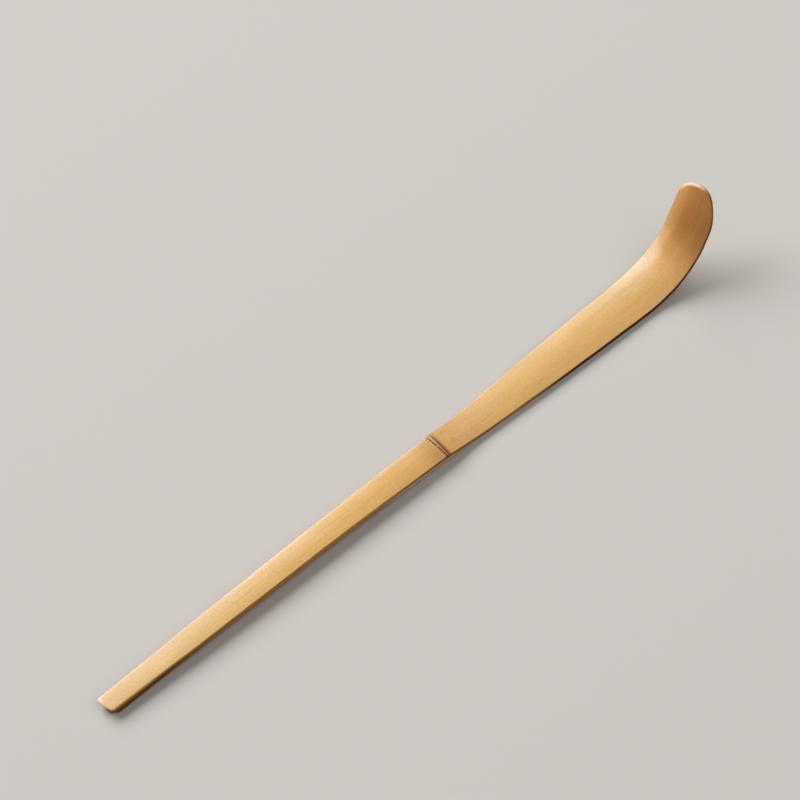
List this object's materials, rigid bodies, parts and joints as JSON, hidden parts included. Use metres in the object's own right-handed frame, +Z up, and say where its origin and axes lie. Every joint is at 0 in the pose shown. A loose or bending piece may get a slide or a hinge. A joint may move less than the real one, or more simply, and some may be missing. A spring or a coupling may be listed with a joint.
{
  "type": "bamboo tea scoop",
  "caption": "Slender bamboo tea scoop: a tapering handle, a node ring just past its middle, and a flaring stem bent up into a rounded scoop for powdered tea.",
  "frame": {"origin": "on the table, under the middle of the scoop's box", "axes": "+X along the strip from the foot to the tip, +Y across it, +Z up from the table that it lies on"},
  "size_m": [0.1804, 0.0114, 0.0208],
  "materials": {
    "bamboo": "satin polished bamboo rind, fine lengthwise fibre, browner on the cut sides and underside",
    "node_scar": "pale ridge between two brown scar lines, a little rougher than the rind"
  },
  "bodies": {
    "root": {"handle_internode": "bamboo", "node_ring": "node_scar", "scoop_internode": "bamboo"}
  },
  "joints": []
}
